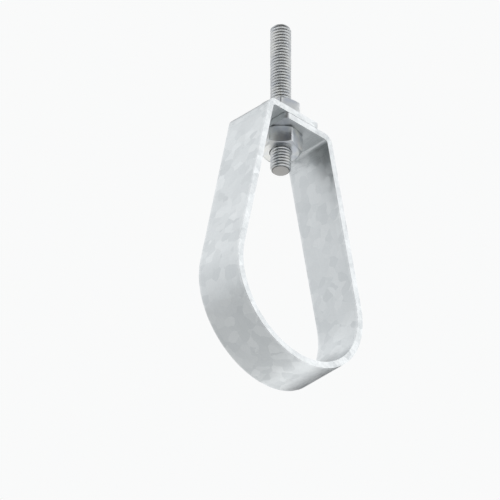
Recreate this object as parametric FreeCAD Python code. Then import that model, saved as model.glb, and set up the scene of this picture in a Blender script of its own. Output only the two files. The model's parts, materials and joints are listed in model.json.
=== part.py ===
import FreeCAD, Part
import math
import os

# Adjustable band hanger: a bent steel strip, held on a threaded rod by two nuts.
# Millimetres. The origin is on the loop's axis at the band's mid-width.
# +Y runs along that axis, +Z up the rod, and +X is across both.

# Loop, bent to fit round what it carries
pipe_diameter = 73.0
pipe_clearance = 0.15

# Flat strip that the band is bent from
strip_thickness = 3.175
strip_width = 25.4
strip_edge_chamfer = 0.4

# Head, where the strip's two ends lap each other
pipe_to_head_gap = 54.1
head_flat_length = 30.8
head_bend_radius = 2.0
lap_gap = 0.15
upper_tab_margin = 6.4
lower_tab_margin = 3.5
tab_corner_radius = 2.0

# Threaded rod, drawn at its thread's crest
rod_diameter = 9.525
rod_length = 79.0
rod_below_nut = 10.2
rod_end_chamfer = 1.0
rod_hole_clearance = 0.79

# Heavy hexagon nuts, one on each side of the head
nut_across_flats = 17.46
nut_height = 9.13
nut_face_inset = 0.35
nut_chamfer_angle = 30.0
nut_bore_clearance = 0.05
nut_countersink = 0.45
upper_nut_heading = -15.0
lower_nut_heading = -45.0

# What follows from them
rod_radius = rod_diameter / 2
loop_radius = pipe_diameter / 2 + pipe_clearance
hole_radius = rod_radius + rod_hole_clearance
nut_bore_radius = rod_radius + nut_bore_clearance
lower_layer_z = pipe_diameter / 2 + pipe_to_head_gap
upper_layer_z = lower_layer_z + strip_thickness + lap_gap
head_top_z = upper_layer_z + strip_thickness
rod_bottom_z = lower_layer_z - nut_height - rod_below_nut

up = FreeCAD.Vector(0, 0, 1)


def polar(centre, radius, angle):
    """The point at an angle in degrees from +X towards +Z, in the plane y = 0."""
    turn = math.radians(angle)
    return centre + FreeCAD.Vector(radius * math.cos(turn), 0, radius * math.sin(turn))


def arc(centre, radius, start, end):
    """An arc about a centre, from one angle in degrees to the other."""
    middle = (start + end) / 2
    points = [polar(centre, radius, angle) for angle in (start, middle, end)]
    return Part.Arc(*points).toShape()


def leg_angle(layer_z):
    """The angle above level that a leg's outside faces: the leg touches its head bend and the loop."""
    bend_x = head_flat_length / 2
    bend_z = layer_z - head_bend_radius
    lean = math.asin((loop_radius - head_bend_radius) / math.hypot(bend_x, bend_z))
    return math.degrees(lean - math.atan2(bend_x, bend_z))


def strip_face(depth):
    """The strip's line at a depth outwards from its inner face, from its upper end to its lower."""
    loop_centre = FreeCAD.Vector(0, 0, 0)
    left_bend = FreeCAD.Vector(-head_flat_length / 2, 0, upper_layer_z - head_bend_radius)
    right_bend = FreeCAD.Vector(head_flat_length / 2, 0, lower_layer_z - head_bend_radius)
    left_angle = 180 - leg_angle(upper_layer_z)
    right_angle = leg_angle(lower_layer_z)
    bend = head_bend_radius + depth
    loop = loop_radius + depth

    upper_end = FreeCAD.Vector(hole_radius + upper_tab_margin, 0, upper_layer_z + depth)
    lower_end = FreeCAD.Vector(-hole_radius - lower_tab_margin, 0, lower_layer_z + depth)
    return [
        Part.makeLine(upper_end, polar(left_bend, bend, 90)),
        arc(left_bend, bend, 90, left_angle),
        Part.makeLine(polar(left_bend, bend, left_angle), polar(loop_centre, loop, left_angle)),
        arc(loop_centre, loop, left_angle, 360 + right_angle),
        Part.makeLine(polar(loop_centre, loop, right_angle), polar(right_bend, bend, right_angle)),
        arc(right_bend, bend, right_angle, 90),
        Part.makeLine(polar(right_bend, bend, 90), lower_end),
    ]


def is_upright(edge):
    """True for an edge that runs up and down."""
    box = edge.BoundBox
    return box.XLength < 0.01 and box.YLength < 0.01


def is_on_strip_side(edge):
    """True for an edge that lies in one of the strip's two long sides."""
    box = edge.BoundBox
    return box.YLength < 0.01 and abs(abs(box.YMin) - strip_width / 2) < 0.01


def make_band():
    """One strip bent to a loop, its ends lapped at the head and punched for the rod."""
    inner = strip_face(0)
    outer = strip_face(strip_thickness)
    upper_cut = Part.makeLine(inner[0].firstVertex().Point, outer[0].firstVertex().Point)
    lower_cut = Part.makeLine(inner[-1].lastVertex().Point, outer[-1].lastVertex().Point)
    outline = Part.Wire(Part.__sortEdges__(inner + [lower_cut] + outer + [upper_cut]))
    outline.translate(FreeCAD.Vector(0, -strip_width / 2, 0))
    strip = Part.Face(outline).extrude(FreeCAD.Vector(0, strip_width, 0))

    strip = strip.makeFillet(tab_corner_radius, [edge for edge in strip.Edges if is_upright(edge)])
    sides = [edge for edge in strip.Edges if is_on_strip_side(edge)]
    strip = strip.makeChamfer(strip_edge_chamfer, sides)

    punch = Part.makeCylinder(
        hole_radius, head_top_z - rod_bottom_z, FreeCAD.Vector(0, 0, rod_bottom_z), up
    )
    return strip.cut(punch)


def turned(outline):
    """The solid turned about the rod's axis from a half outline of (radius, height) points."""
    points = [FreeCAD.Vector(radius, 0, height) for radius, height in outline]
    wire = Part.makePolygon(points + points[:1])
    return Part.Face(wire).revolve(FreeCAD.Vector(0, 0, 0), up, 360)


def make_rod():
    """The rod, with both ends chamfered so that a nut starts on it."""
    top_z = rod_bottom_z + rod_length
    tip_radius = rod_radius - rod_end_chamfer
    return turned([
        (0, rod_bottom_z),
        (tip_radius, rod_bottom_z),
        (rod_radius, rod_bottom_z + rod_end_chamfer),
        (rod_radius, top_z - rod_end_chamfer),
        (tip_radius, top_z),
        (0, top_z),
    ])


def make_nut(bottom_z, heading):
    """A hexagon nut with a corner at a heading, chamfered and countersunk at both ends."""
    top_z = bottom_z + nut_height
    corner_radius = nut_across_flats / math.sqrt(3)
    face_radius = nut_across_flats / 2 - nut_face_inset
    chamfer = (corner_radius - face_radius) * math.tan(math.radians(nut_chamfer_angle))
    mouth_radius = nut_bore_radius + nut_countersink

    centre = FreeCAD.Vector(0, 0, bottom_z)
    corners = []
    for side in range(7):
        turn = math.radians(heading + 60 * side)
        reach = FreeCAD.Vector(math.cos(turn), math.sin(turn), 0)
        corners.append(centre + reach * corner_radius)
    prism = Part.Face(Part.makePolygon(corners)).extrude(up * nut_height)

    blank = turned([
        (nut_bore_radius, bottom_z + nut_countersink),
        (mouth_radius, bottom_z),
        (face_radius, bottom_z),
        (corner_radius, bottom_z + chamfer),
        (corner_radius, top_z - chamfer),
        (face_radius, top_z),
        (mouth_radius, top_z),
        (nut_bore_radius, top_z - nut_countersink),
    ])
    return prism.common(blank)


pieces = {
    "band": make_band(),
    "threaded_rod": make_rod(),
    "upper_nut": make_nut(head_top_z, upper_nut_heading),
    "lower_nut": make_nut(lower_layer_z - nut_height, lower_nut_heading),
}

os.makedirs("parts", exist_ok=True)
for name, shape in pieces.items():
    shape.exportStep(f"parts/{name}.step")
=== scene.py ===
import json
import math

import bpy
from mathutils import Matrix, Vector


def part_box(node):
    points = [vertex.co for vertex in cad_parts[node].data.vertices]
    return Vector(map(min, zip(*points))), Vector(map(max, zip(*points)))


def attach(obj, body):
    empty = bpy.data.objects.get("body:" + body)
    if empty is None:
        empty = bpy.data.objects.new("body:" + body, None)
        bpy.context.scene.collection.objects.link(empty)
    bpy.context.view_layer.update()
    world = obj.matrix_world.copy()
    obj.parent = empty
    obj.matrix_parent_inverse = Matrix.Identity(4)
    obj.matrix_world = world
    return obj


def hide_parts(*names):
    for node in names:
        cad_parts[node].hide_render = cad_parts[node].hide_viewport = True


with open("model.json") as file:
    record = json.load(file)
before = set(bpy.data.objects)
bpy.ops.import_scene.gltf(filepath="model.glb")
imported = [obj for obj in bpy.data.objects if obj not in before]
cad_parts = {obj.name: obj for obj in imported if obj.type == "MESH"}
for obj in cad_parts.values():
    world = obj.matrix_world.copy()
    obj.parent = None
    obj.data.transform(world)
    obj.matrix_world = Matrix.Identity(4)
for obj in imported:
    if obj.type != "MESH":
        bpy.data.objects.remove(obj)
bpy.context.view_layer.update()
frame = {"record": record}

bpy.ops.object.select_all(action="DESELECT")


# Band: one flat strip of galvanised steel, 1 in wide and 1/8 in thick, slit from a wider coil.
# It is bent on a former to a pear shape, and its two ends lap each other flat at the head.
# Both ends are punched for the rod, and the nuts above and below clamp them together.

band_low, band_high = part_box("band")
seat = next(mount for mount in frame["record"]["mounts"] if mount["name"] == "pipe_seat")
loop_radius = seat["dims"]["r_mm"] / 1000
strip_width = band_high.y - band_low.y
strip_thickness = band_high.x - loop_radius
strip_edge_round = 0.0004

upper_layer_z = band_high.z - strip_thickness
lower_layer_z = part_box("lower_nut")[1].z
head_flat_length = 0.0308
head_bend_radius = 0.002
hole_clearance = 0.00079
hole_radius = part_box("threaded_rod")[1].x + hole_clearance
upper_tab_margin = 0.0064
lower_tab_margin = 0.0035
upper_tab_end_x = hole_radius + upper_tab_margin
lower_tab_end_x = -hole_radius - lower_tab_margin
tab_corner_radius = 0.002

# How finely it is rounded, and how close two points are taken as one
loop_steps = 110
head_bend_steps = 14
tab_corner_steps = 8
hole_sides = 72
strip_edge_steps = 3
sharp_edge = math.radians(50)
strip_smoothed_to = math.radians(35)
same_point = 1e-7


def open_piece(piece, kind="FACE"):
    """Opens a piece for editing, with no other piece selected."""
    bpy.ops.object.select_all(action="DESELECT")
    piece.select_set(True)
    bpy.context.view_layer.objects.active = piece
    bpy.ops.object.mode_set(mode="EDIT")
    bpy.ops.mesh.select_mode(type=kind)


def pick(piece, kind, is_wanted):
    """Opens a piece with only those faces or edges selected whose corners pass a test."""
    open_piece(piece, kind)
    bpy.ops.mesh.select_all(action="DESELECT")
    bpy.ops.object.mode_set(mode="OBJECT")
    parts = piece.data.edges if kind == "EDGE" else piece.data.polygons
    for part in parts:
        corners = [piece.data.vertices[index].co for index in part.vertices]
        part.select = is_wanted(corners)
    bpy.ops.object.mode_set(mode="EDIT")


def close_piece():
    """Merges doubles, turns every face outwards and ends the edit."""
    bpy.ops.mesh.select_all(action="SELECT")
    bpy.ops.mesh.remove_doubles(threshold=same_point)
    bpy.ops.mesh.normals_make_consistent(inside=False)
    bpy.ops.object.mode_set(mode="OBJECT")


def apply_modifier(piece, kind, **settings):
    """Adds a modifier with its settings and applies it to the mesh."""
    modifier = piece.modifiers.new(kind.lower(), kind)
    for name, value in settings.items():
        setattr(modifier, name, value)
    bpy.context.view_layer.objects.active = piece
    bpy.ops.object.modifier_apply(modifier=modifier.name)


def cut(piece, tool, operation="DIFFERENCE"):
    """Cuts a piece with a tool, or keeps only what lies inside it, and takes the tool away."""
    apply_modifier(piece, "BOOLEAN", object=tool, operation=operation, solver="MANIFOLD")
    bpy.data.objects.remove(tool)


def leg_angle(layer_z):
    """How far a leg's outside faces above level, from its head bend down to the loop."""
    bend_x = head_flat_length / 2
    bend_z = layer_z - head_bend_radius
    narrowing = math.asin((loop_radius - head_bend_radius) / math.hypot(bend_x, bend_z))
    return narrowing - math.atan2(bend_x, bend_z)


def outward(angle):
    """The direction at an angle from +X towards +Z."""
    return Vector((math.cos(angle), 0, math.sin(angle)))


def bend(steps, angle, centre):
    """Carries the strip's end face round a bend."""
    bpy.ops.mesh.spin(steps=steps, angle=angle, center=centre, axis=(0, 1, 0))


def run_on(travel):
    """Carries the strip's end face straight on."""
    bpy.ops.mesh.extrude_region_move(TRANSFORM_OT_translate={"value": travel})


left_bend = Vector((-head_flat_length / 2, 0, upper_layer_z - head_bend_radius))
right_bend = Vector((head_flat_length / 2, 0, lower_layer_z - head_bend_radius))
left_rise = leg_angle(upper_layer_z)
right_rise = leg_angle(lower_layer_z)
left_side = outward(math.pi - left_rise)
right_side = outward(right_rise)
leg_reach = loop_radius - head_bend_radius

upper_end = Vector((upper_tab_end_x, 0, upper_layer_z + strip_thickness / 2))
bpy.ops.mesh.primitive_plane_add(size=1, rotation=(0, math.pi / 2, 0))
band = bpy.context.object
band.name = "bent_strip"
bpy.ops.object.transform_apply(location=True, rotation=True, scale=True)
open_piece(band)
bpy.ops.transform.resize(value=(1, strip_width, strip_thickness), center_override=(0, 0, 0))
bpy.ops.transform.translate(value=upper_end)
run_on((left_bend.x - upper_tab_end_x, 0, 0))
bend(head_bend_steps, math.pi / 2 - left_rise, left_bend)
run_on(left_side * leg_reach - left_bend)
bend(loop_steps, math.pi + left_rise + right_rise, (0, 0, 0))
run_on(right_bend - right_side * leg_reach)
bend(head_bend_steps, math.pi / 2 - right_rise, right_bend)
run_on((lower_tab_end_x - right_bend.x, 0, 0))
close_piece()


def is_tab_corner(corners):
    """True for the four short upright edges at the two ends of the strip."""
    first, second = corners
    ends = (upper_tab_end_x, lower_tab_end_x)
    at_end = any(abs(first.x - x) + abs(second.x - x) < same_point for x in ends)
    return at_end and abs(first.y - second.y) < same_point


pick(band, "EDGE", is_tab_corner)
bpy.ops.mesh.bevel(offset=tab_corner_radius, segments=tab_corner_steps, affect="EDGES")
close_piece()

bpy.ops.object.select_all(action="DESELECT")
bpy.ops.mesh.primitive_cylinder_add(
    vertices=hole_sides,
    radius=hole_radius,
    depth=4 * strip_thickness,
    location=(0, 0, upper_layer_z),
)
cut(band, bpy.context.object)
apply_modifier(
    band, "BEVEL",
    width=strip_edge_round,
    segments=strip_edge_steps,
    limit_method="ANGLE",
    angle_limit=sharp_edge,
)
open_piece(band)
close_piece()
bpy.ops.object.shade_smooth_by_angle(angle=strip_smoothed_to)
apply_modifier(band, "WEIGHTED_NORMAL", keep_sharp=True)


def add_node(tree, kind, inputs=None, **properties):
    """Adds a node. An input takes a value, or the output that feeds it."""
    node = tree.nodes.new("ShaderNode" + kind)
    for name, value in properties.items():
        setattr(node, name, value)
    for name, value in (inputs or {}).items():
        if isinstance(value, bpy.types.NodeSocket):
            tree.links.new(value, node.inputs[name])
        else:
            node.inputs[name].default_value = value
    return node


def ramp(tree, value, start, end, low=0.0, high=1.0, smooth=False):
    """Turns a value's run from start to end into one from low to high."""
    node = add_node(
        tree, "MapRange",
        {"Value": value, "From Min": start, "From Max": end, "To Min": low, "To Max": high},
        interpolation_type="SMOOTHSTEP" if smooth else "LINEAR",
    )
    return node.outputs["Result"]


def product(tree, first, second):
    """One value times another."""
    return add_node(tree, "Math", {0: first, 1: second}, operation="MULTIPLY").outputs["Value"]


def build_up(tree, base, *layers):
    """A base with a share of each layer's value added to it."""
    for value, share in layers:
        inputs = {0: value, 1: share, 2: base}
        base = add_node(tree, "Math", inputs, operation="MULTIPLY_ADD").outputs["Value"]
    return base


def blend(tree, share, first, second):
    """Goes from the first colour to the second."""
    return add_node(tree, "Mix", {0: share, 6: first, 7: second}, data_type="RGBA").outputs[2]


def noise(tree, place, scale, detail, roughness=0.5):
    """An uneven value from 0 to 1."""
    inputs = {"Vector": place, "Scale": scale, "Detail": detail, "Roughness": roughness}
    return add_node(tree, "TexNoise", inputs).outputs["Fac"]


def streaks(tree, place, fineness, detail):
    """Noise drawn out to streaks, finer one way than another."""
    drawn_out = add_node(tree, "Mapping", {"Vector": place, "Scale": fineness})
    return noise(tree, drawn_out.outputs["Vector"], 1.0, detail)


def wandering(tree, place, scale, detail, reach):
    """A place moved about by up to a reach, so that a pattern on it runs unevenly."""
    drift = add_node(tree, "TexNoise", {"Vector": place, "Scale": scale, "Detail": detail})
    moved = add_node(
        tree, "VectorMath",
        {0: drift.outputs["Color"], 1: (reach, reach, reach), 2: place},
        operation="MULTIPLY_ADD",
    )
    return moved.outputs["Vector"]


def distance(tree, place, centre, ways):
    """How far a place is from a centre, counting only some of the three ways."""
    offset = add_node(tree, "VectorMath", {0: place, 1: centre}, operation="SUBTRACT")
    counted = add_node(
        tree, "VectorMath", {0: offset.outputs["Vector"], 1: ways}, operation="MULTIPLY"
    )
    length = add_node(tree, "VectorMath", {0: counted.outputs["Vector"]}, operation="LENGTH")
    return length.outputs["Value"]


def emboss(tree, shader, height, strength, depth, normal=None):
    """Raises a height pattern on the surface."""
    inputs = {"Height": height, "Strength": strength, "Distance": depth}
    if normal is not None:
        inputs["Normal"] = normal
    bump = add_node(tree, "Bump", inputs)
    tree.links.new(bump.outputs["Normal"], shader.inputs["Normal"])


def start_group(name, inputs, outputs):
    """A new node group with these named sockets: its tree, its inputs and its output node."""
    tree = bpy.data.node_groups.new(name, "ShaderNodeTree")
    for direction, sockets in (("INPUT", inputs), ("OUTPUT", outputs)):
        for socket, kind in sockets:
            tree.interface.new_socket(socket, in_out=direction, socket_type="NodeSocket" + kind)
    entry = tree.nodes.new("NodeGroupInput")
    return tree, entry.outputs, tree.nodes.new("NodeGroupOutput")


def start_metal(name):
    """A new bare metal finish: its material, tree, shader and Object coordinates."""
    material = bpy.data.materials.new(name)
    material.use_nodes = True
    tree = material.node_tree
    shader = tree.nodes["Principled BSDF"]
    shader.inputs["Metallic"].default_value = 1.0
    return material, tree, shader, add_node(tree, "TexCoord").outputs["Object"]


# Rubbing brightens zinc along edges and crests, in broken patches.
rubbed_zinc, entry, leave = start_group(
    "rubbed_zinc",
    [("Place", "Vector"), ("Distance", "Float"), ("Start", "Float"), ("End", "Float")],
    [("Mask", "Float")],
)
near_edge = ramp(rubbed_zinc, entry["Distance"], entry["Start"], entry["End"], smooth=True)
broken = noise(rubbed_zinc, entry["Place"], scale=420.0, detail=3.0, roughness=0.6)
patches = ramp(rubbed_zinc, broken, start=0.3, end=0.62)
rubbed_zinc.links.new(product(rubbed_zinc, near_edge, patches), leave.inputs["Mask"])

# Zinc dulls unevenly, in soft clouds with a fine grit.
clouded_zinc, entry, leave = start_group(
    "clouded_zinc",
    [("Place", "Vector"), ("Cloud Scale", "Float"), ("Grit Scale", "Float")],
    [("Cloud", "Float"), ("Grit", "Float")],
)
clouds = noise(clouded_zinc, entry["Place"], entry["Cloud Scale"], detail=4.0, roughness=0.55)
grit = noise(clouded_zinc, entry["Place"], entry["Grit Scale"], detail=2.0, roughness=0.7)
clouded_zinc.links.new(clouds, leave.inputs["Cloud"])
clouded_zinc.links.new(grit, leave.inputs["Grit"])

dull_zinc = (0.61, 0.635, 0.645, 1)
bright_zinc = (0.90, 0.915, 0.915, 1)
crystals_a_metre = 210.0
crystal_tilt = 0.08
side_rub_width = 0.0016
side_bright_width = 0.0002
crack_reach = 0.002
galvanised, tree, shader, place = start_metal("galvanised_strip")
dulling = add_node(
    tree, "Group",
    {"Place": place, "Cloud Scale": 38.0, "Grit Scale": 2600.0},
    node_tree=clouded_zinc,
)

# Spangle: the zinc's crystals, a few millimetres across, each with a tone and a tilt of its own
ragged = wandering(tree, place, scale=420.0, detail=3.0, reach=0.0016)
crystals = add_node(tree, "TexVoronoi", {"Vector": ragged, "Scale": crystals_a_metre})
crystal = add_node(tree, "SeparateColor", {"Color": crystals.outputs["Color"]}).outputs
crystal_lean = add_node(
    tree, "VectorMath",
    {0: crystals.outputs["Color"], 1: (0.5, 0.5, 0.5)},
    operation="SUBTRACT",
)
leaning_surface = add_node(
    tree, "VectorMath",
    {
        0: crystal_lean.outputs["Vector"],
        1: (crystal_tilt, crystal_tilt, crystal_tilt),
        2: add_node(tree, "NewGeometry").outputs["Normal"],
    },
    operation="MULTIPLY_ADD",
)

# Feathers in each crystal, which grow a way of their own
growth = add_node(
    tree, "VectorRotate",
    {
        "Vector": ragged,
        "Axis": (1.0, 1.0, 1.0),
        "Angle": product(tree, crystal["Blue"], math.tau),
    },
)
feathers = streaks(
    tree, growth.outputs["Vector"], fineness=(500.0, 500.0, 4200.0), detail=3.0
)

# Rolling lines, long and thin, that follow the strip
rolling = streaks(tree, place, fineness=(45.0, 1500.0, 45.0), detail=2.0)

# The slit sides and the edges beside them, rubbed in handling
rubbing = add_node(
    tree, "Group",
    {
        "Place": place,
        "Distance": distance(tree, place, centre=(0.0, 0.0, 0.0), ways=(0.0, 1.0, 0.0)),
        "Start": strip_width / 2 - side_rub_width,
        "End": strip_width / 2 - side_bright_width,
    },
    node_tree=rubbed_zinc,
)

# Fine cracks across the two head bends, where the zinc was stretched
bend_outside = head_bend_radius + strip_thickness
nearest_bend = add_node(
    tree, "Math",
    {
        0: distance(tree, place, centre=left_bend, ways=(1.0, 0.0, 1.0)),
        1: distance(tree, place, centre=right_bend, ways=(1.0, 0.0, 1.0)),
    },
    operation="MINIMUM",
).outputs["Value"]
at_bend = ramp(tree, nearest_bend, bend_outside + crack_reach, bend_outside, smooth=True)
crazing = streaks(tree, place, fineness=(3000.0, 260.0, 3000.0), detail=2.0)
cracks = product(tree, ramp(tree, crazing, start=0.52, end=0.62), at_bend)

tone = build_up(
    tree,
    ramp(tree, crystal["Red"], 0.0, 1.0, low=-0.22, high=0.10),
    (feathers, 0.30),
    (dulling.outputs["Cloud"], 0.22),
    (rolling, 0.10),
    (cracks, -0.30),
    (rubbing.outputs["Mask"], 0.35),
)
tree.links.new(blend(tree, tone, dull_zinc, bright_zinc), shader.inputs["Base Color"])
dullness = build_up(
    tree,
    ramp(tree, crystal["Green"], 0.0, 1.0, low=0.24, high=0.36),
    (dulling.outputs["Cloud"], 0.12),
    (cracks, 0.08),
)
tree.links.new(dullness, shader.inputs["Roughness"])
relief = build_up(
    tree, rolling, (dulling.outputs["Grit"], 0.35), (feathers, 0.6), (cracks, -0.9)
)
emboss(
    tree, shader, relief, strength=0.35, depth=0.00004, normal=leaning_surface.outputs["Vector"]
)

band.data.materials.clear()
band.data.materials.append(galvanised)
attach(band, "band")
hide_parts("band")


# Threaded rod: steel bar with a 3/8-16 thread rolled along all of its length, zinc plated.
# It is sawn to length, and both ends are chamfered so that a nut starts on them.
# Its upper end screws into whatever the hanger is hung from.

rod_low, rod_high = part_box("threaded_rod")
rod_radius = rod_high.x
rod_end_chamfer = 0.001
rod_end_radius = rod_radius - rod_end_chamfer
thread_pitch = 0.0254 / 16
thread_angle = math.radians(60)
thread_depth = 0.61 * thread_pitch
crest_width = thread_pitch / 8
flank_height = thread_depth * math.tan(thread_angle / 2)
root_width = thread_pitch - crest_width - 2 * flank_height
thread_rounding = 0.00005

# The thread starts a little off the rod's end, so that no flank ends in the sawn face.
thread_datum_z = rod_low.z + 0.3 * thread_pitch
spare_turns = 2

thread_steps = 48
cone_sides = 96
rod_smoothed_to = math.radians(32)
same_turn = 1e-6
plane_hit = 1e-8


def thread_solid(name, crest_radius, bottom_z, top_z):
    """A solid right-hand thread from one height to another, always in step with the rod's."""
    first_turn = math.floor((bottom_z - thread_datum_z) / thread_pitch) - spare_turns
    start_z = thread_datum_z + first_turn * thread_pitch
    root_radius = crest_radius - thread_depth
    bpy.ops.object.select_all(action="DESELECT")
    bpy.ops.mesh.primitive_plane_add(size=1)
    piece = bpy.context.object
    piece.name = name
    open_piece(piece, "VERT")
    bpy.ops.mesh.select_all(action="SELECT")
    bpy.ops.mesh.merge(type="CENTER")
    bpy.ops.transform.translate(value=(root_radius, 0, start_z))
    for travel in (
        (0, 0, root_width / 2),
        (thread_depth, 0, flank_height),
        (0, 0, crest_width),
        (-thread_depth, 0, flank_height),
        (0, 0, root_width / 2),
    ):
        run_on(travel)
    bpy.ops.mesh.select_all(action="SELECT")
    bpy.ops.mesh.bevel(offset=thread_rounding, segments=2, affect="VERTICES")
    bpy.ops.object.mode_set(mode="OBJECT")
    apply_modifier(
        piece, "SCREW",
        axis="Z",
        angle=math.tau,
        screw_offset=thread_pitch,
        iterations=math.ceil((top_z - start_z) / thread_pitch) + 1,
        steps=thread_steps,
        render_steps=thread_steps,
        use_merge_vertices=False,
    )
    open_piece(piece)
    bpy.ops.mesh.select_all(action="SELECT")
    bpy.ops.mesh.remove_doubles(threshold=same_turn)
    for height, is_top in ((bottom_z, False), (top_z, True)):
        bpy.ops.mesh.select_all(action="SELECT")
        bpy.ops.mesh.bisect(
            plane_co=(0, 0, height),
            plane_no=(0, 0, 1),
            use_fill=True,
            clear_inner=not is_top,
            clear_outer=is_top,
            threshold=plane_hit,
        )
    close_piece()
    return piece


def double_cone(radius, end_radius, cone_height, bottom_z, top_z):
    """A round solid whose two ends narrow to a smaller radius."""
    bpy.ops.object.select_all(action="DESELECT")
    bpy.ops.mesh.primitive_cylinder_add(
        vertices=cone_sides,
        radius=radius,
        depth=top_z - bottom_z - 2 * cone_height,
        location=(0, 0, (bottom_z + top_z) / 2),
    )
    piece = bpy.context.object
    bpy.ops.object.transform_apply(location=True, rotation=True, scale=True)
    narrowing = end_radius / radius
    for end_z, rise in ((top_z, cone_height), (bottom_z, -cone_height)):
        cap_z = end_z - rise
        pick(piece, "FACE", lambda corners: all(abs(at.z - cap_z) < same_point for at in corners))
        run_on((0, 0, rise))
        bpy.ops.transform.resize(
            value=(narrowing, narrowing, 1), center_override=(0, 0, end_z)
        )
        close_piece()
    return piece


rod = thread_solid("rolled_rod", rod_radius, rod_low.z, rod_high.z)
rod_outline = double_cone(rod_radius, rod_end_radius, rod_end_chamfer, rod_low.z, rod_high.z)
cut(rod, rod_outline, "INTERSECT")
open_piece(rod)
close_piece()
bpy.ops.object.shade_smooth_by_angle(angle=rod_smoothed_to)

# How far a point is from the rod's axis
from_axis, entry, leave = start_group("from_axis", [("Place", "Vector")], [("Distance", "Float")])
axis_distance = distance(from_axis, entry["Place"], centre=(0.0, 0.0, 0.0), ways=(1.0, 1.0, 0.0))
from_axis.links.new(axis_distance, leave.inputs["Distance"])

stained_plating = (0.50, 0.53, 0.58, 1)
clean_plating = (0.82, 0.82, 0.79, 1)
# A dark colour painted into the thread's roots as shade
root_shade_colour = (0.16, 0.16, 0.155, 1)
rubbed_plating = (0.90, 0.91, 0.91, 1)
dark_sawn_steel = (0.42, 0.41, 0.40, 1)
pale_sawn_steel = (0.62, 0.61, 0.59, 1)
sawn_fade = 0.00006
plated_rod, tree, shader, place = start_metal("plated_rod")
dulling = add_node(
    tree, "Group",
    {"Place": place, "Cloud Scale": 160.0, "Grit Scale": 3200.0},
    node_tree=clouded_zinc,
)
axis_gap = add_node(tree, "Group", {"Place": place}, node_tree=from_axis).outputs["Distance"]
stain = ramp(tree, dulling.outputs["Cloud"], start=0.35, end=0.62)
plating = blend(tree, stain, stained_plating, clean_plating)

# Painted shade in the roots of the thread, and crests rubbed bright
above_root = ramp(
    tree, axis_gap,
    start=rod_radius - 1.02 * thread_depth,
    end=rod_radius - 0.45 * thread_depth,
    smooth=True,
)
crest_rub = add_node(
    tree, "Group",
    {
        "Place": place,
        "Distance": axis_gap,
        "Start": rod_radius - 0.7 * thread_depth,
        "End": rod_radius - 0.1 * thread_depth,
    },
    node_tree=rubbed_zinc,
)
# The thread's roots take the painted shade colour
root_shaded = blend(tree, above_root, root_shade_colour, plating)
worn = blend(tree, crest_rub.outputs["Mask"], root_shaded, rubbed_plating)

# Sawn ends, bare steel with the saw's lines across
sawn = ramp(tree, axis_gap, start=rod_end_radius, end=rod_end_radius - sawn_fade)
saw_lines = add_node(
    tree, "TexWave",
    {
        "Vector": wandering(tree, place, scale=300.0, detail=1.0, reach=0.0009),
        "Scale": 800.0,
        "Distortion": 3.0,
        "Detail": 2.0,
    },
    bands_direction="DIAGONAL",
).outputs["Fac"]
ended = blend(tree, sawn, worn, blend(tree, saw_lines, dark_sawn_steel, pale_sawn_steel))
tree.links.new(ended, shader.inputs["Base Color"])
dullness = ramp(tree, above_root, 0.0, 1.0, low=0.55, high=0.26)
tree.links.new(dullness, shader.inputs["Roughness"])
relief = build_up(tree, dulling.outputs["Grit"], (product(tree, saw_lines, sawn), 1.5))
emboss(tree, shader, relief, strength=0.3, depth=0.00003)

rod.data.materials.clear()
rod.data.materials.append(plated_rod)
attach(rod, "rod")
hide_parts("threaded_rod")


# Nuts: two heavy hexagon nuts, forged of steel, chamfered, tapped 3/8-16 and zinc plated.
# The lower one carries the band on the rod, and the upper one locks the lapped ends down on it.
# They are alike, so one blank is made, and a copy of it is tapped at each place on the rod.

upper_nut_low, upper_nut_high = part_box("upper_nut")
nut_height = upper_nut_high.z - upper_nut_low.z
across_flats = 0.01746
corner_radius = across_flats / math.sqrt(3)
nut_corner_round = 0.0003
nut_face_inset = 0.00035
nut_face_radius = across_flats / 2 - nut_face_inset
nut_chamfer_angle = math.radians(30)
nut_chamfer = (corner_radius - nut_face_radius) * math.tan(nut_chamfer_angle)
tap_clearance = 0.00005
tap_crest_radius = rod_radius + tap_clearance
tap_root_radius = tap_crest_radius - thread_depth
nut_countersink = 0.00045
countersink_radius = tap_crest_radius + nut_countersink
countersink_overrun = 0.0006

# A six-sided cylinder is made with its first corner towards +Y.
blank_heading = math.radians(90)
nut_headings = {"upper_nut": math.radians(-15), "lower_nut": math.radians(-45)}

nut_corner_steps = 3
countersink_sides = 72
nut_smoothed_to = math.radians(25)

bpy.ops.object.select_all(action="DESELECT")
bpy.ops.mesh.primitive_cylinder_add(vertices=6, radius=corner_radius, depth=nut_height)
blank = bpy.context.object
blank.name = "nut_blank"
pick(blank, "EDGE", lambda corners: abs(corners[0].z - corners[1].z) > nut_height / 2)
bpy.ops.mesh.bevel(offset=nut_corner_round, segments=nut_corner_steps, affect="EDGES")
close_piece()
nut_outline = double_cone(
    corner_radius, nut_face_radius, nut_chamfer, -nut_height / 2, nut_height / 2
)
cut(blank, nut_outline, "INTERSECT")

narrow = tap_root_radius - countersink_overrun
wide = countersink_radius + countersink_overrun
countersink_z = nut_height / 2 + countersink_overrun - (wide - narrow) / 2
for middle_z, turn in ((countersink_z, 0), (-countersink_z, math.pi)):
    bpy.ops.object.select_all(action="DESELECT")
    bpy.ops.mesh.primitive_cone_add(
        vertices=countersink_sides,
        radius1=narrow,
        radius2=wide,
        depth=wide - narrow,
        location=(0, 0, middle_z),
        rotation=(turn, 0, 0),
    )
    cut(blank, bpy.context.object)

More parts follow.
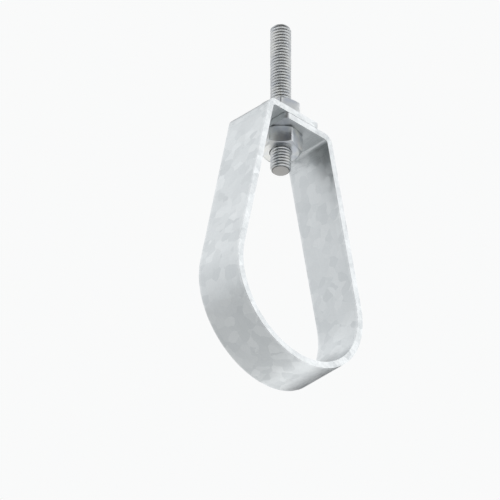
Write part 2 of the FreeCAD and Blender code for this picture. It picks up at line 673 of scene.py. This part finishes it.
nuts = []
for node, heading in nut_headings.items():
    low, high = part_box(node)
    nut = blank.copy()
    nut.data = blank.data.copy()
    nut.name = node.replace("_nut", "_hex_nut")
    bpy.context.scene.collection.objects.link(nut)
    bpy.ops.object.select_all(action="DESELECT")
    nut.select_set(True)
    bpy.context.view_layer.objects.active = nut
    nut.rotation_euler = (0, 0, heading - blank_heading)
    nut.location = (0, 0, (low.z + high.z) / 2)
    bpy.ops.object.transform_apply(location=True, rotation=True, scale=True)
    tap = thread_solid("tap", tap_crest_radius, low.z - thread_pitch, high.z + thread_pitch)
    cut(nut, tap)
    open_piece(nut)
    close_piece()
    bpy.ops.object.shade_smooth_by_angle(angle=nut_smoothed_to)
    nuts.append((nut, node))
bpy.data.objects.remove(blank)

stained_nut = (0.58, 0.61, 0.66, 1)
clean_nut = (0.80, 0.80, 0.77, 1)
# A dark colour painted into the bore and countersink as shade
bore_shade_colour = (0.14, 0.14, 0.135, 1)
corner_rub_width = 0.0009
corner_bright_width = 0.0002
ring_spacing = 0.0002
plated_nut, tree, shader, place = start_metal("plated_nut")
dulling = add_node(
    tree, "Group",
    {"Place": place, "Cloud Scale": 140.0, "Grit Scale": 2400.0},
    node_tree=clouded_zinc,
)
axis_gap = add_node(tree, "Group", {"Place": place}, node_tree=from_axis).outputs["Distance"]
stain = ramp(tree, dulling.outputs["Cloud"], start=0.35, end=0.65)
plating = blend(tree, stain, stained_nut, clean_nut)

# Corners rubbed bright by the spanner, and painted shade in the bore and countersink
corner_rub = add_node(
    tree, "Group",
    {
        "Place": place,
        "Distance": axis_gap,
        "Start": corner_radius - corner_rub_width,
        "End": corner_radius - corner_bright_width,
    },
    node_tree=rubbed_zinc,
)
worn = blend(tree, corner_rub.outputs["Mask"], plating, rubbed_plating)
out_of_bore = ramp(tree, axis_gap, tap_root_radius, countersink_radius, smooth=True)
# The bore and countersink take the painted shade colour
tree.links.new(blend(tree, out_of_bore, bore_shade_colour, worn), shader.inputs["Base Color"])
dullness = ramp(tree, dulling.outputs["Cloud"], 0.0, 1.0, low=0.22, high=0.42)
tree.links.new(dullness, shader.inputs["Roughness"])

# Turning rings on the chamfered ends
rings = add_node(
    tree, "Math", {0: product(tree, axis_gap, math.tau / ring_spacing)}, operation="SINE"
)
surface = add_node(tree, "NewGeometry").outputs["Normal"]
uprightness = distance(tree, surface, centre=(0.0, 0.0, 0.0), ways=(0.0, 0.0, 1.0))
end_rings = product(tree, rings.outputs["Value"], ramp(tree, uprightness, start=0.3, end=0.8))
relief = build_up(tree, dulling.outputs["Grit"], (end_rings, 0.3))
emboss(tree, shader, relief, strength=0.4, depth=0.00004)

for nut, node in nuts:
    nut.data.materials.clear()
    nut.data.materials.append(plated_nut)
    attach(nut, node)
    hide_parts(node)


# Studio: a pale floor far below, which the camera looks up past, and a pale surround.
# Soft lights stand round the hanger. None of this is part of it.

floor_size = 16
floor_z = -0.45
bpy.ops.object.select_all(action="DESELECT")
bpy.ops.mesh.primitive_plane_add(size=floor_size, location=(0, 0, floor_z))
floor = bpy.context.object
floor.name = "studio_floor"
bpy.ops.object.transform_apply(location=True, rotation=True, scale=True)
pale_floor = bpy.data.materials.new("pale_floor")
pale_floor.use_nodes = True
paint = pale_floor.node_tree.nodes["Principled BSDF"]
paint.inputs["Base Color"].default_value = (0.94, 0.94, 0.935, 1)
paint.inputs["Roughness"].default_value = 0.8
floor.data.materials.clear()
floor.data.materials.append(pale_floor)

surround_white = (0.97, 0.985, 1.0, 1)
surround_light = 0.97
backdrop_white = (0.95, 0.955, 0.955, 1)
look_along = Vector((1, 1, 1)).normalized()
world = bpy.data.worlds.new("pale_surround")
bpy.context.scene.world = world
world.use_nodes = True
tree = world.node_tree
tree.nodes.clear()
bearing = add_node(tree, "TexCoord").outputs["Generated"]


def dim_towards(direction, start, end, least):
    """How bright the surround is, falling from 1 to its least round one direction."""
    inputs = {0: bearing, 1: direction.normalized()}
    facing = add_node(tree, "VectorMath", inputs, operation="DOT_PRODUCT")
    return ramp(tree, facing.outputs["Value"], start, end, low=1.0, high=least, smooth=True)


# The surround is dark round the camera and straight behind the hanger.
# Rounded edges and outlines mirror those two ways, and so they draw darker lines.
near_side = dim_towards(Vector((-1, -1, 0)), start=0.15, end=0.86, least=0.10)
far_side = dim_towards(look_along, start=0.72, end=0.95, least=0.10)
strength = product(tree, product(tree, near_side, far_side), surround_light)
surround = add_node(tree, "Background", {"Color": surround_white, "Strength": strength})
backdrop = add_node(tree, "Background", {"Color": backdrop_white, "Strength": 1.0})
seen_directly = add_node(tree, "LightPath").outputs["Is Camera Ray"]
either = add_node(
    tree, "MixShader",
    {0: seen_directly, 1: surround.outputs["Background"], 2: backdrop.outputs["Background"]},
)
add_node(tree, "OutputWorld", {"Surface": either.outputs["Shader"]})


def softbox(name, stand, size, power):
    """A square area light that faces the hanger."""
    light = bpy.data.lights.new(name, "AREA")
    light.size = size
    light.energy = power
    lamp = bpy.data.objects.new(name, light)
    lamp.location = stand
    lamp.rotation_euler = (-Vector(stand)).to_track_quat("-Z", "Y").to_euler()
    bpy.context.scene.collection.objects.link(lamp)


softbox("front_softbox", (1.1, -1.2, 1.0), size=0.9, power=1.0)
softbox("back_softbox", (-0.6, 1.1, 1.5), size=1.0, power=0.4)
softbox("top_softbox", (0.1, 0.1, 1.6), size=1.2, power=3.5)
softbox("low_softbox", (0.42, 0.42, -0.40), size=0.6, power=0.6)

view_width = 0.2267
view_centre = Vector((-0.0190, 0.0007, 0.0183))
camera_distance = 0.6
camera = bpy.data.objects.new("camera", bpy.data.cameras.new("camera"))
camera.data.type = "ORTHO"
camera.data.ortho_scale = view_width
camera.data.clip_start = 0.01
camera.data.clip_end = 20
camera.location = view_centre - look_along * camera_distance
camera.rotation_euler = look_along.to_track_quat("-Z", "Y").to_euler()
bpy.context.scene.collection.objects.link(camera)
bpy.context.scene.camera = camera
bpy.context.scene.view_settings.view_transform = "Standard"
